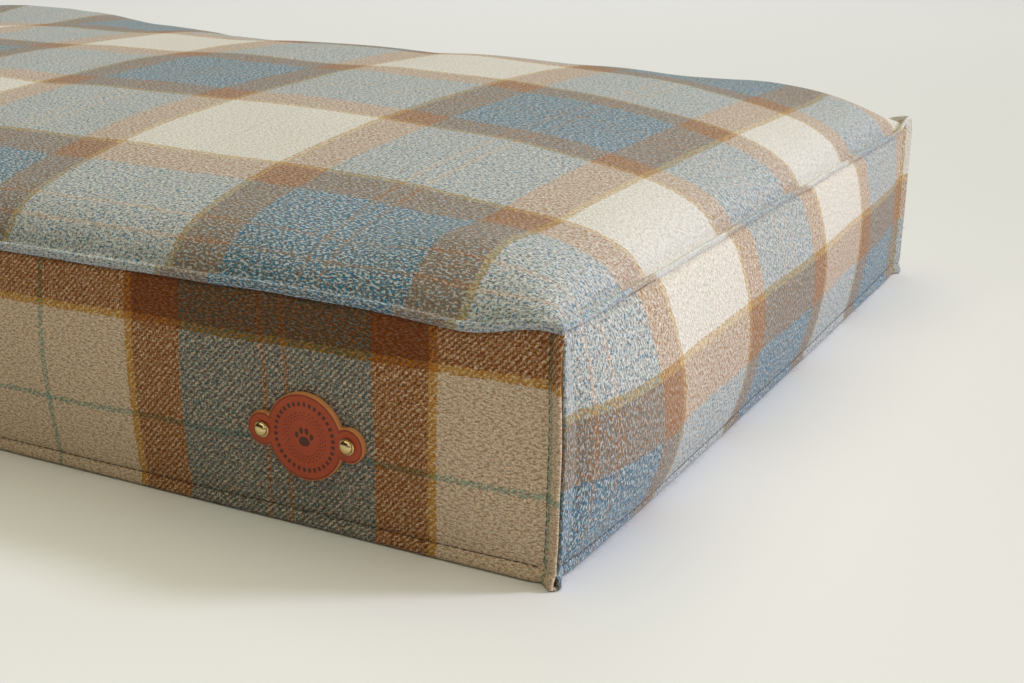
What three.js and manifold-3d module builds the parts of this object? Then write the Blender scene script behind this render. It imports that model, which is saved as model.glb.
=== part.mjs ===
// A boxed pet cushion bed: a removable wool cover with a zip along its back, a leather tag
// riveted to its front wall, and an inner pad of fibre filling in a cotton casing.
// Millimetres. +X is the bed's length, +Y points to the back and +Z is up.
// The origin is the middle of the base, on the floor.

import * as THREE from 'three';
import { mergeVertices } from 'three/addons/utils/BufferGeometryUtils.js';
import Module from 'manifold-3d';

const wasm = await Module();
wasm.setup();

// Overall sizes.
const bedLength = 1045;
const bedWidth = 565;
const wallHeight = 110; // floor to the seam round the top panel
const crownHeight = 50; // rise of the top panel above that seam
const crownEase = 85; // distance from the seam in which the crown gains most of its height
const crownSteps = 10; // facets from a seam to the middle

// Cloth and clearances.
const clothThickness = 2;
const casingThickness = 1;
const touchGap = 0.3; // left between pieces that touch
const layerGap = 1; // left between the crowned layers
const padEase = 1.4; // room round the pad, past the back of the zip and of the rivets

// Seams.
const finLength = 6; // cloth pinched outwards along each upright corner seam
const ridgeOut = 2.5; // how far the edge ridge stands out past the walls
const ridgeRise = 4; // and above the top seam
const ridgeWidth = 5;

// Zip.
const zipMargin = 72.5; // from each corner to the end of the teeth
const zipHeight = 45; // centre line of the zip above the floor
const zipSlotHeight = 13; // opening between the two folded edges of the back wall
const zipSlotSpare = 6; // slot left past each end of the teeth
const tapeThickness = 0.8;
const tapeWidth = 16;
const coilGap = 1.4; // between the two rows of teeth, where the slider's post runs
const coilWidth = 2.5;
const coilDepth = 2;
const stopLength = 3;

// Zip slider and pull.
const sliderLength = 10;
const sliderPlate = 1.1; // thickness of each plate
const sliderClearance = 0.4; // round the teeth
const sliderFlange = 1; // thickness of the two side flanges
const sliderPost = 0.7; // thickness of the post between the two plates
const bridgeReach = 7.2; // length of the bridge that holds the pull
const bridgeRoom = 2.1; // height under the bridge
const bridgeBar = 1;
const bridgeWidth = 2.2;
const pullLength = 26;
const pullThickness = 1.2;
const pullBar = 1; // bar of the pull's eye that lies under the bridge
const pullEyeSide = 1.2; // width of the eye's two sides
const pullEndWidth = 7;

// Leather tag and its two rivets.
const tagFromCorner = 120.5; // from the right-hand corner to the tag's middle
const tagHeight = 44; // the tag's middle above the floor
const tagDiameter = 40;
const tagThickness = 3;
const tagLobeRadius = 8;
const rivetOutset = 2.5; // from the disc's edge to the middle of each rivet
const rivetCapDiameter = 7.5;
const rivetCapHeight = 2.4;
const rivetPostDiameter = 2.4;
const rivetFlangeDiameter = 7;
const rivetFlangeThickness = 0.8;
const rivetHoleClearance = 0.3;
const rivetSides = 32;

const halfLength = bedLength / 2;
const halfWidth = bedWidth / 2;
const wallTop = wallHeight - clothThickness - touchGap;
const zipLength = bedLength - 2 * zipMargin;
const tagX = halfLength - tagFromCorner;
const rivetXs = [-1, 1].map((side) => tagX + side * (tagDiameter / 2 + rivetOutset));

// Depths of the zip's layers, measured outwards from the middle of the tape.
const tapePlane = halfWidth - clothThickness - touchGap - tapeThickness / 2;
const coilBack = tapeThickness / 2 + touchGap;
const coilFront = coilBack + coilDepth;
const coilInner = coilGap / 2;
const coilOuter = coilInner + coilWidth;
const frontPlateBack = coilFront + sliderClearance;
const frontPlateFront = frontPlateBack + sliderPlate;
const backPlateFront = -tapeThickness / 2 - sliderClearance;
const backPlateBack = backPlateFront - sliderPlate;

// How far inside the cover's outer face the pad's casing and its filling start.
const zipDepth = touchGap + tapeThickness / 2 - backPlateBack;
const rivetDepth = touchGap + rivetFlangeThickness;
const casingInset = clothThickness + Math.max(zipDepth, rivetDepth) + padEase;
const fillingInset = casingInset + casingThickness + touchGap;

const wool = { color: 0x8f8a78, roughness: 0.95, metalness: 0 };
const canvas = { color: 0x6b5a48, roughness: 0.95, metalness: 0 };
const cotton = { color: 0xe8e2d4, roughness: 0.9, metalness: 0 };
const fibre = { color: 0xf4f2ec, roughness: 1, metalness: 0 };
const leather = { color: 0x8a3d1e, roughness: 0.55, metalness: 0 };
const brass = { color: 0xd9b36a, roughness: 0.25, metalness: 1 };
const tape = { color: 0x5b4a38, roughness: 0.9, metalness: 0 };
const nylon = { color: 0x4a3b2c, roughness: 0.45, metalness: 0 };

const bed = new THREE.Group();

// Adds one named piece to the bed.
function addPiece(name, geometry, finish) {
  const mesh = new THREE.Mesh(geometry, new THREE.MeshStandardMaterial(finish));
  mesh.name = name;
  bed.add(mesh);
  return mesh;
}

// Solids for joining and cutting.
function toSolid(geometry) {
  const bare = geometry.clone();
  bare.deleteAttribute('normal');
  bare.deleteAttribute('uv');
  const merged = mergeVertices(bare, 1e-4);
  return new wasm.Manifold(new wasm.Mesh({
    numProp: 3,
    vertProperties: merged.attributes.position.array,
    triVerts: new Uint32Array(merged.index.array),
  }));
}

function toGeometry(solid) {
  const mesh = solid.getMesh();
  const geometry = new THREE.BufferGeometry();
  geometry.setAttribute('position', new THREE.BufferAttribute(mesh.vertProperties, 3));
  geometry.setIndex(new THREE.BufferAttribute(mesh.triVerts, 1));
  geometry.computeVertexNormals();
  return geometry;
}

function joined(geometries) {
  return toGeometry(geometries.map(toSolid).reduce((whole, solid) => whole.add(solid)));
}

function cut(geometry, cutters) {
  return toGeometry(cutters.map(toSolid).reduce((left, solid) => left.subtract(solid), toSolid(geometry)));
}

// A box between two corners.
function boxBetween(low, high) {
  const size = high.map((value, axis) => value - low[axis]);
  const middle = high.map((value, axis) => (value + low[axis]) / 2);
  return new THREE.BoxGeometry(...size).translate(...middle);
}

// An outline in X and Y, raised from one height to another.
function upright(outline, bottom, top, curveSegments = 8) {
  const shape = outline instanceof THREE.Shape ? outline : new THREE.Shape(outline);
  const geometry = new THREE.ExtrudeGeometry(shape, {
    depth: top - bottom,
    bevelEnabled: false,
    curveSegments,
  });
  return geometry.translate(0, 0, bottom);
}

// --- The crown ---------------------------------------------------------------------------

// The share of the crown reached at a distance from one seam.
function crownShare(distance, half) {
  return (1 - Math.exp(-distance / crownEase)) / (1 - Math.exp(-half / crownEase));
}

function crown(x, y) {
  const alongLength = crownShare(halfLength - Math.abs(x), halfLength);
  const alongWidth = crownShare(halfWidth - Math.abs(y), halfWidth);
  return crownHeight * alongLength * alongWidth;
}

// Grid lines from one edge to the other, close together near the seams. Every layer has the
// same lines inside its own edge, so that the layers' facets stay the same height apart.
function crownLines(half, inset) {
  const lines = [0, casingInset, fillingInset]
    .filter((edge) => edge >= inset)
    .map((edge) => half - edge);
  for (let step = 1; step < crownSteps; step += 1) {
    const line = half * Math.cos((Math.PI / 2) * (step / crownSteps));
    if (line < half - fillingInset - layerGap) lines.push(line);
  }
  const lower = lines.map((line) => -line);
  return [...lower, 0, ...lines.reverse()];
}

// A solid between two crowned or level surfaces, with upright sides.
function crownedSolid(inset, topAt, bottomAt) {
  const xs = crownLines(halfLength, inset);
  const ys = crownLines(halfWidth, inset);
  const positions = [];
  const addLayer = (heightAt) => {
    ys.forEach((y) => xs.forEach((x) => positions.push(x, y, heightAt(x, y))));
  };
  addLayer(topAt);
  addLayer(bottomAt);

  const columns = xs.length;
  const rows = ys.length;
  const top = (column, row) => row * columns + column;
  const bottom = (column, row) => rows * columns + top(column, row);
  const faces = [];
  const addQuad = (a, b, c, d) => faces.push(a, b, c, a, c, d);

  for (let row = 0; row < rows - 1; row += 1) {
    for (let column = 0; column < columns - 1; column += 1) {
      // Both surfaces are split along the same diagonal, so that layers stay parallel.
      const [a, b, c, d] = [[column, row], [column + 1, row], [column + 1, row + 1], [column, row + 1]];
      addQuad(top(...a), top(...b), top(...c), top(...d));
      addQuad(bottom(...a), bottom(...d), bottom(...c), bottom(...b));
    }
  }
  for (let column = 0; column < columns - 1; column += 1) {
    const last = rows - 1;
    addQuad(bottom(column, 0), bottom(column + 1, 0), top(column + 1, 0), top(column, 0));
    addQuad(bottom(column + 1, last), bottom(column, last), top(column, last), top(column + 1, last));
  }
  for (let row = 0; row < rows - 1; row += 1) {
    const last = columns - 1;
    addQuad(bottom(0, row + 1), bottom(0, row), top(0, row), top(0, row + 1));
    addQuad(bottom(last, row), bottom(last, row + 1), top(last, row + 1), top(last, row));
  }

  const geometry = new THREE.BufferGeometry();
  geometry.setAttribute('position', new THREE.Float32BufferAttribute(positions, 3));
  geometry.setIndex(faces);
  geometry.computeVertexNormals();
  return geometry;
}

// --- The cover's panels --------------------------------------------------------------------

// The top panel: crowned cloth, with its edge folded into a ridge along the seam.
function topPanel() {
  const cloth = crownedSolid(
    0,
    (x, y) => wallHeight + crown(x, y),
    (x, y) => wallHeight + crown(x, y) - clothThickness,
  );
  const ridgeLow = wallHeight - clothThickness;
  const ridgeHigh = wallHeight + ridgeRise;
  const outerX = halfLength + ridgeOut;
  const outerY = halfWidth + ridgeOut;
  const innerX = outerX - ridgeWidth;
  const innerY = outerY - ridgeWidth;
  const ridge = cut(
    boxBetween([-outerX, -outerY, ridgeLow], [outerX, outerY, ridgeHigh]),
    [boxBetween([-innerX, -innerY, ridgeLow - 1], [innerX, innerY, ridgeHigh + 1])],
  );
  return joined([cloth, ridge]);
}

// The plan of one wall, seen from above, with the wall's face towards -Y. Each end turns
// outwards at 45 degrees, where it is pinched against the next wall's end.
function wallPlan(halfSpan, faceDistance) {
  const diagonal = Math.SQRT1_2;
  const inner = faceDistance - clothThickness;
  const cornerX = halfSpan - clothThickness;
  const tipInset = touchGap / 2;
  const tip = finLength * diagonal;
  const innerShift = tipInset * diagonal;
  const outerShift = (tipInset + clothThickness) * diagonal;
  const turn = (clothThickness * (Math.SQRT2 - 1) - tipInset) * diagonal;
  const rightEnd = [
    [cornerX - 2 * innerShift, inner],
    [cornerX - innerShift + tip, inner + innerShift + tip],
    [cornerX - outerShift + tip, inner + outerShift + tip],
    [cornerX - outerShift + turn, faceDistance],
  ];
  const outline = [
    ...rightEnd.map(([x, out]) => new THREE.Vector2(x, -out)),
    ...rightEnd.reverse().map(([x, out]) => new THREE.Vector2(-x, -out)),
  ];
  return outline.reverse();
}

// A round bar that runs along Y.
function barAlongY(radius, x, z, fromY, toY) {
  return new THREE.CylinderGeometry(radius, radius, toY - fromY, rivetSides)
    .translate(x, (fromY + toY) / 2, z);
}

function frontWall() {
  const wall = upright(wallPlan(halfLength, halfWidth), 0, wallTop);
  const holeRadius = rivetPostDiameter / 2 + rivetHoleClearance;
  const holes = rivetXs.map((x) => barAlongY(
    holeRadius,
    x,
    tagHeight,
    -halfWidth - clothThickness,
    -halfWidth + 2 * clothThickness,
  ));
  return cut(wall, holes);
}

function endWall(turn) {
  return upright(wallPlan(halfWidth, halfLength), 0, wallTop).rotateZ(turn);
}

// One half of the back wall, cut back along the zip.
function backWall(bottom, top) {
  const wall = upright(wallPlan(halfLength, halfWidth), bottom, top).rotateZ(Math.PI);
  const slotHalf = zipLength / 2 + zipSlotSpare;
  const slot = boxBetween(
    [-slotHalf, halfWidth - 2 * clothThickness, zipHeight - zipSlotHeight / 2],
    [slotHalf, halfWidth + clothThickness, zipHeight + zipSlotHeight / 2],
  );
  return cut(wall, [slot]);
}

function basePanel() {
  const x = halfLength - clothThickness - touchGap;
  const y = halfWidth - clothThickness - touchGap;
  return boxBetween([-x, -y, 0], [x, y, clothThickness]);
}

addPiece('top_panel', topPanel(), wool);
addPiece('front_wall', frontWall(), wool);
addPiece('right_wall', endWall(Math.PI / 2), wool);
addPiece('left_wall', endWall(-Math.PI / 2), wool);
addPiece('back_wall_lower', backWall(0, zipHeight - touchGap / 2), wool);
addPiece('back_wall_upper', backWall(zipHeight + touchGap / 2, wallTop), wool);
addPiece('base_panel', basePanel(), canvas);

// --- The zip -------------------------------------------------------------------------------

// A box in the zip's own directions: along the zip, outwards from the tape, and up.
function zipBox(low, high) {
  return boxBetween(low, high).translate(0, tapePlane, zipHeight);
}

function tapeStrip(side) {
  const half = zipLength / 2 + zipSlotSpare + tapeWidth / 2;
  const edges = [coilInner, coilInner + tapeWidth].map((edge) => edge * side);
  return zipBox(
    [-half, -tapeThickness / 2, Math.min(...edges)],
    [half, tapeThickness / 2, Math.max(...edges)],
  );
}

function coilRow(side) {
  const edges = [coilInner, coilOuter].map((edge) => edge * side);
  return zipBox(
    [-zipLength / 2, coilBack, Math.min(...edges)],
    [zipLength / 2, coilFront, Math.max(...edges)],
  );
}

// The stop that joins both rows at the open end.
function bottomStop() {
  const from = -zipLength / 2 - touchGap;
  return zipBox([from - stopLength, coilBack, -coilOuter], [from, coilFront, coilOuter]);
}

// The stop at the closed end of one row.
function topStop(side) {
  const from = zipLength / 2 + touchGap;
  const edges = [coilInner, coilOuter].map((edge) => edge * side);
  return zipBox([from, coilBack, Math.min(...edges)], [from + stopLength, coilFront, Math.max(...edges)]);
}

addPiece('zip_tape_upper', tapeStrip(1), tape);
addPiece('zip_tape_lower', tapeStrip(-1), tape);
addPiece('zip_teeth_upper', coilRow(1), nylon);
addPiece('zip_teeth_lower', coilRow(-1), nylon);
addPiece('zip_bottom_stop', bottomStop(), brass);
addPiece('zip_top_stop_upper', topStop(1), brass);
addPiece('zip_top_stop_lower', topStop(-1), brass);

// The slider is drawn at the closed end. Its own origin is on the tape, at its middle.
const sliderX = zipLength / 2 - sliderLength / 2 - touchGap;
const flangeInner = coilOuter + sliderClearance;
const flangeOuter = flangeInner + sliderFlange;
const pullAxis = frontPlateFront + bridgeRoom / 2;

function roundedRectangle(length, width, radius) {
  const x = length / 2;
  const y = width / 2;
  const shape = new THREE.Shape();
  shape.moveTo(-x + radius, -y);
  shape.lineTo(x - radius, -y);
  shape.absarc(x - radius, -y + radius, radius, -Math.PI / 2, 0);
  shape.absarc(x - radius, y - radius, radius, 0, Math.PI / 2);
  shape.absarc(-x + radius, y - radius, radius, Math.PI / 2, Math.PI);
  shape.absarc(-x + radius, -y + radius, radius, Math.PI, 1.5 * Math.PI);
  shape.closePath();
  return shape;
}

// An outline drawn along the zip and up, made as thick as a layer of the zip.
function layer(outline, back, front) {
  return upright(outline, -front, -back, 4).rotateX(Math.PI / 2);
}

// The bridge over the front plate: an outline drawn along the zip and outwards.
function bridge() {
  const foot = bridgeReach / 2;
  const crest = bridgeRoom + bridgeBar;
  const sunk = sliderPlate / 2;
  const outer = new THREE.Shape();
  outer.moveTo(-foot, -sunk);
  outer.lineTo(foot, -sunk);
  outer.lineTo(foot, crest - bridgeBar);
  outer.absarc(foot - bridgeBar, crest - bridgeBar, bridgeBar, 0, Math.PI / 2);
  outer.lineTo(-foot + bridgeBar, crest);
  outer.absarc(-foot + bridgeBar, crest - bridgeBar, bridgeBar, Math.PI / 2, Math.PI);
  outer.closePath();
  const inner = foot - bridgeBar;
  outer.holes.push(new THREE.Path([
    new THREE.Vector2(-inner, 0),
    new THREE.Vector2(-inner, bridgeRoom),
    new THREE.Vector2(inner, bridgeRoom),
    new THREE.Vector2(inner, 0),
  ]));
  return upright(outer, -bridgeWidth / 2, bridgeWidth / 2, 4).translate(0, frontPlateFront, 0);
}

function slider() {
  const plate = roundedRectangle(sliderLength, 2 * flangeOuter, sliderFlange);
  const flangeReach = sliderLength / 2 - sliderFlange;
  const flangeBack = coilBack + sliderClearance;
  const inPlate = sliderPlate / 2;
  const flanges = [-1, 1].map((side) => boxBetween(
    [-flangeReach, flangeBack, Math.min(side * flangeInner, side * flangeOuter)],
    [flangeReach, frontPlateBack + inPlate, Math.max(side * flangeInner, side * flangeOuter)],
  ));
  const post = boxBetween(
    [sliderLength / 6, backPlateFront - inPlate, -sliderPost / 2],
    [flangeReach, frontPlateBack + inPlate, sliderPost / 2],
  );
  return joined([
    layer(plate, frontPlateBack, frontPlateFront),
    layer(plate, backPlateBack, backPlateFront),
    bridge(),
    ...flanges,
    post,
  ]);
}

// The pull, lying along the zip, drawn from the middle of its bar under the bridge.
function pull() {
  const eyeHalf = bridgeWidth / 2 + sliderClearance;
  const eyeEnd = Math.hypot(bridgeReach / 2, pullAxis - frontPlateFront + bridgeBar) + touchGap;
  const neckHalf = eyeHalf + pullEyeSide;
  const endRadius = pullEndWidth / 2;
  const endX = pullLength - endRadius;
  const outline = new THREE.Shape();
  outline.moveTo(-pullBar / 2, -neckHalf);
  outline.lineTo(eyeEnd, -neckHalf);
  outline.lineTo(endX, -endRadius);
  outline.absarc(endX, 0, endRadius, -Math.PI / 2, Math.PI / 2);
  outline.lineTo(eyeEnd, neckHalf);
  outline.lineTo(-pullBar / 2, neckHalf);
  outline.closePath();
  outline.holes.push(new THREE.Path([
    new THREE.Vector2(pullBar / 2, -eyeHalf),
    new THREE.Vector2(pullBar / 2, eyeHalf),
    new THREE.Vector2(eyeEnd, eyeHalf),
    new THREE.Vector2(eyeEnd, -eyeHalf),
  ]));
  return layer(outline, -pullThickness / 2, pullThickness / 2);
}

addPiece('zip_slider', slider(), brass).position.set(sliderX, tapePlane, zipHeight);
addPiece('zip_pull', pull(), brass).position.set(sliderX, tapePlane + pullAxis, zipHeight);

// --- The leather tag -----------------------------------------------------------------------

const tagBack = -halfWidth - touchGap;
const tagFront = tagBack - tagThickness;
const postRadius = rivetPostDiameter / 2;

// A disc with a lobe at each side, round each rivet.
function leatherTag() {
  const disc = barAlongY(tagDiameter / 2, tagX, tagHeight, tagFront, tagBack);
  const lobes = rivetXs.map((x) => barAlongY(tagLobeRadius, x, tagHeight, tagFront, tagBack));
  const holeRadius = postRadius + rivetHoleClearance;
  const holes = rivetXs.map((x) => barAlongY(
    holeRadius,
    x,
    tagHeight,
    tagFront - tagThickness,
    tagBack + tagThickness,
  ));
  return cut(joined([disc, ...lobes]), holes);
}

// The domed cap, with the socket that the post is pressed into.
function rivetCapProfile() {
  const radius = rivetCapDiameter / 2;
  const rim = rivetCapHeight / 4;
  const socket = postRadius + rivetHoleClearance;
  const socketDepth = rivetCapHeight / 2;
  const dome = [];
  const domeSteps = 6;
  for (let step = 0; step <= domeSteps; step += 1) {
    const angle = (Math.PI / 2) * (step / domeSteps);
    dome.push([radius * Math.cos(angle), rim + (rivetCapHeight - rim) * Math.sin(angle)]);
  }
  dome[domeSteps][0] = 0;
  return [[0, socketDepth], [socket, socketDepth], [socket, 0], [radius, 0], ...dome];
}

// The post, with the flange behind the cloth that it is driven from.
function rivetPostProfile(length) {
  const flange = rivetFlangeDiameter / 2;
  return [
    [0, 0],
    [flange, 0],
    [flange, rivetFlangeThickness],
    [postRadius, rivetFlangeThickness],
    [postRadius, length],
    [0, length],
  ];
}

// Places a profile so that its heights run towards -Y from a given plane.
function placeTurned(profile, x, planeY) {
  const points = profile.map(([radius, height]) => new THREE.Vector2(radius, height));
  return new THREE.LatheGeometry(points, rivetSides)
    .rotateX(Math.PI)
    .translate(x, planeY, tagHeight);
}

const postBase = -halfWidth + clothThickness + touchGap + rivetFlangeThickness;
const capBase = tagFront - touchGap;
const postLength = postBase - capBase + rivetCapHeight / 2 - touchGap;
const sides = ['left', 'right'];

addPiece('leather_tag', leatherTag(), leather);
rivetXs.forEach((x, index) => {
  addPiece(`rivet_cap_${sides[index]}`, placeTurned(rivetCapProfile(), x, capBase), brass);
  addPiece(`rivet_post_${sides[index]}`, placeTurned(rivetPostProfile(postLength), x, postBase), brass);
});

// --- The inner pad -------------------------------------------------------------------------

const casingBottom = clothThickness + touchGap;
const casingDrop = clothThickness + layerGap; // the casing's top, below the cover's
const fillingDrop = casingDrop + casingThickness + layerGap;

function casingTop() {
  return crownedSolid(
    casingInset,
    (x, y) => wallHeight + crown(x, y) - casingDrop,
    (x, y) => wallHeight + crown(x, y) - casingDrop - casingThickness,
  );
}

function casingWall() {
  const outerX = halfLength - casingInset;
  const outerY = halfWidth - casingInset;
  const innerX = outerX - casingThickness;
  const innerY = outerY - casingThickness;
  const top = wallHeight - casingDrop - casingThickness - touchGap;
  const bottom = casingBottom + casingThickness + touchGap;
  return cut(
    boxBetween([-outerX, -outerY, bottom], [outerX, outerY, top]),
    [boxBetween([-innerX, -innerY, bottom - 1], [innerX, innerY, top + 1])],
  );
}

function casingBase() {
  const x = halfLength - casingInset;
  const y = halfWidth - casingInset;
  return boxBetween([-x, -y, casingBottom], [x, y, casingBottom + casingThickness]);
}

function filling() {
  const bottom = casingBottom + casingThickness + touchGap;
  return crownedSolid(
    fillingInset,
    (x, y) => wallHeight + crown(x, y) - fillingDrop,
    () => bottom,
  );
}

addPiece('casing_top', casingTop(), cotton);
addPiece('casing_wall', casingWall(), cotton);
addPiece('casing_base', casingBase(), cotton);
addPiece('fibre_filling', filling(), fibre);

export default bed;
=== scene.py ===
# A boxed pet cushion bed: a tartan wool cover over a fibre-filled pad, with a riveted leather
# tag on its front wall and a zip along its back.

import math

import bpy
import numpy as np
from mathutils import Matrix, Vector


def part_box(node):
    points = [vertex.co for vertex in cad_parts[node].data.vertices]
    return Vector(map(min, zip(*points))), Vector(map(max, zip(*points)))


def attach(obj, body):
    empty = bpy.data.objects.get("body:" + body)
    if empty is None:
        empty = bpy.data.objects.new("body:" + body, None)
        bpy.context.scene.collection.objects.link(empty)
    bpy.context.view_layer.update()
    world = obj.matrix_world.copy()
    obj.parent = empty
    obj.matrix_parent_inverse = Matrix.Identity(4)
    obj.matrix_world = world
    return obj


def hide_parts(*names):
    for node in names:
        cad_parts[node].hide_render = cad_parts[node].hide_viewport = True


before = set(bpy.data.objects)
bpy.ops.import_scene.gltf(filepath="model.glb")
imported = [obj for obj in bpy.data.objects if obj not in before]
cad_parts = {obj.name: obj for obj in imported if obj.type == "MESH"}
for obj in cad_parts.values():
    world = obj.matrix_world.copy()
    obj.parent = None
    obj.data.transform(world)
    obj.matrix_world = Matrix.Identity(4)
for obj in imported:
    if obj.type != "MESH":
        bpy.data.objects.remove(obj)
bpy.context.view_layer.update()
bpy.ops.object.select_all(action="DESELECT")


# --- The room -----------------------------------------------------------------------------
# A pale studio floor. A clear light comes low from behind the bed to the right, with a wide one
# beside it and a broad ceiling above, and two small ones lift the tag's corner and the far floor.
# The camera looks down on the corner nearest the tag.

MM = 0.001
cloth_gap = 2.3 * MM  # the wall's cloth and the gap to the base panel beside it
cloth_thickness = 2 * MM
half_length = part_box("base_panel")[1].x + cloth_gap
half_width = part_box("base_panel")[1].y + cloth_gap
wall_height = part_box("top_panel")[0].z + cloth_thickness
tag_corner = Vector((half_length, -half_width, 0))

camera_offset = wall_height * Vector((1.9955, -4.0763, 2.3923))
camera_turn, camera_dip = 28.176, 17.638
bpy.ops.object.camera_add(location=tag_corner + camera_offset)
camera = bpy.context.object
camera.name = "camera"
camera.rotation_euler = (math.radians(90 - camera_dip), 0, math.radians(camera_turn))
camera.data.sensor_width = 36
camera.data.lens = 48.42
bpy.context.scene.camera = camera
bpy.context.scene.view_settings.view_transform = "Standard"
bpy.context.scene.view_settings.look = "None"


def soft_light(name, place, aim, size, power, colour):
    """A square soft box at a place, facing another."""
    bpy.ops.object.light_add(type="AREA", location=place)
    light = bpy.context.object
    light.name = name
    light.data.size = size
    light.data.energy = power
    light.data.color = colour
    light.rotation_euler = (Vector(aim) - Vector(place)).to_track_quat("-Z", "Y").to_euler()


def distant_light(name, towards, spread, power, colour):
    """Even light from one direction, softened over an angle."""
    bpy.ops.object.light_add(type="SUN")
    light = bpy.context.object
    light.name = name
    light.data.angle = math.radians(spread)
    light.data.energy = power
    light.data.color = colour
    light.rotation_euler = Vector(towards).to_track_quat("Z", "Y").to_euler()


distant_light("back_light", (0.72, 0.41, 0.56), 9, 1.74, (0.775, 0.775, 0.90))
distant_light("side_light", (1.0, 0.3, 0.5), 60, 1.42, (0.80, 0.81, 0.86))
soft_light("ceiling_light", (0.3, 0.3, 8.0), (0.3, 0.3, 0), 12.0, 600, (1.0, 0.95, 0.62))
soft_light("corner_light", (0.80, -0.80, 0.42), (0.42, -0.28, 0.06), 0.35, 0.50, (1.0, 0.92, 0.84))
soft_light("far_light", (-1.3, 3.4, 2.6), (-1.2, 3.2, 0), 2.5, 22, (0.95, 0.97, 1.0))

world = bpy.data.worlds.new("studio")
bpy.context.scene.world = world
world.use_nodes = True
background = world.node_tree.nodes["Background"]
background.inputs["Color"].default_value = (1.0, 0.94, 0.80, 1)
background.inputs["Strength"].default_value = 0.02


def shader(name, roughness, **sockets):
    """A material with a Principled shader, and its node tree and shader node."""
    material = bpy.data.materials.new(name)
    material.use_nodes = True
    tree = material.node_tree
    principled = tree.nodes["Principled BSDF"]
    principled.inputs["Roughness"].default_value = roughness
    for socket, value in sockets.items():
        principled.inputs[socket.replace("_", " ")].default_value = value
    return material, tree, principled


bpy.ops.mesh.primitive_plane_add(size=24, location=(0, 0, 0))
floor = bpy.context.object
floor.name = "studio_floor"
floor_paint, _, floor_shader = shader("floor_paint", 0.55)
floor_shader.inputs["Base Color"].default_value = (0.78, 0.79, 0.83, 1)
floor.data.materials.append(floor_paint)


# --- Wool cloth ---------------------------------------------------------------------------
# The cover is a brushed wool twill in a tartan of cream, blue and brown, with thin gold, rust
# and teal lines. The weft's stripes are a little narrower than the warp's. The cloth's own UV
# map is in metres. Each face has its own copy with painted light: a tint for the colour of its
# light, and on lit faces paler yarn and thicker pale hair as painted sheen.

# One half of each sett, from the middle of the cream: colour and width in wall heights.
WARP_STRIPES = [
    ("teal", 0.014), ("cream", 0.451), ("gold", 0.040), ("brown", 0.245),
    ("blue", 0.402), ("rust", 0.020), ("blue", 0.0415),
]
WEFT_STRIPES = [
    ("teal", 0.014), ("cream", 0.396), ("gold", 0.035), ("brown", 0.205),
    ("blue", 0.340), ("rust", 0.020), ("blue", 0.050),
]
YARNS = {
    "teal": (0.28, 0.47, 0.43),
    "cream": (0.72, 0.668, 0.595),
    "gold": (0.50, 0.25, 0.022),
    "brown": (0.19, 0.060, 0.010),
    "blue": (0.055, 0.110, 0.140),
    "rust": (0.16, 0.082, 0.045),
}
THREAD = 0.75 * MM
NAP_AND_SHEEN_PALENESS = 0.37  # how far brushing, and painted sheen on a lit face, take a yarn towards the cream
HIDDEN_TEAL = 0.15  # what is left of the teal under the nap


def link(tree, source, target):
    tree.links.new(source, target)


def math_node(tree, operation, first, second=None, third=None):
    """A Math node whose inputs are sockets or numbers. Returns its output."""
    node = tree.nodes.new("ShaderNodeMath")
    node.operation = operation
    for index, value in enumerate((first, second, third)):
        if value is None:
            continue
        if isinstance(value, (int, float)):
            node.inputs[index].default_value = value
        else:
            link(tree, value, node.inputs[index])
    return node.outputs[0]


def mix_colour(tree, share, first, second, blend="MIX"):
    """A colour Mix node whose inputs are sockets, numbers or colours. Returns its output."""
    node = tree.nodes.new("ShaderNodeMix")
    node.data_type = "RGBA"
    node.blend_type = blend
    for socket, value in ((node.inputs[0], share), (node.inputs[6], first), (node.inputs[7], second)):
        if isinstance(value, bpy.types.NodeSocket):
            link(tree, value, socket)
        elif isinstance(value, tuple):
            socket.default_value = (*value, 1)
        else:
            socket.default_value = value
    return node.outputs[2]


def power(tree, colour, exponent):
    """A colour's channels raised to a power."""
    node = tree.nodes.new("ShaderNodeGamma")
    link(tree, colour, node.inputs["Color"])
    link(tree, exponent, node.inputs["Gamma"])
    return node.outputs[0]


def noise(tree, vector, scale, detail=2.0, roughness=0.55):
    """Noise between about 0.25 and 0.75, over a vector socket."""
    node = tree.nodes.new("ShaderNodeTexNoise")
    node.inputs["Scale"].default_value = scale
    node.inputs["Detail"].default_value = detail
    node.inputs["Roughness"].default_value = roughness
    link(tree, vector, node.inputs["Vector"])
    return node.outputs["Fac"]


def ramped(tree, value, start, end):
    """A smooth step from 0 to 1 between two values."""
    node = tree.nodes.new("ShaderNodeMapRange")
    node.interpolation_type = "SMOOTHSTEP"
    link(tree, value, node.inputs["Value"])
    node.inputs["From Min"].default_value = start
    node.inputs["From Max"].default_value = end
    return node.outputs["Result"]


def bump(tree, principled, height, strength, distance):
    """Raises a shader's surface by a height socket."""
    node = tree.nodes.new("ShaderNodeBump")
    node.inputs["Strength"].default_value = strength
    node.inputs["Distance"].default_value = distance
    link(tree, height, node.inputs["Height"])
    link(tree, node.outputs[0], principled.inputs["Normal"])


def stretched(tree, vector, scale, turn=0.0):
    """A vector stretched and turned in the plane of the cloth."""
    node = tree.nodes.new("ShaderNodeMapping")
    node.inputs["Scale"].default_value = (*scale, 1)
    node.inputs["Rotation"].default_value = (0, 0, turn)
    link(tree, vector, node.inputs["Vector"])
    return node.outputs[0]


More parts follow.
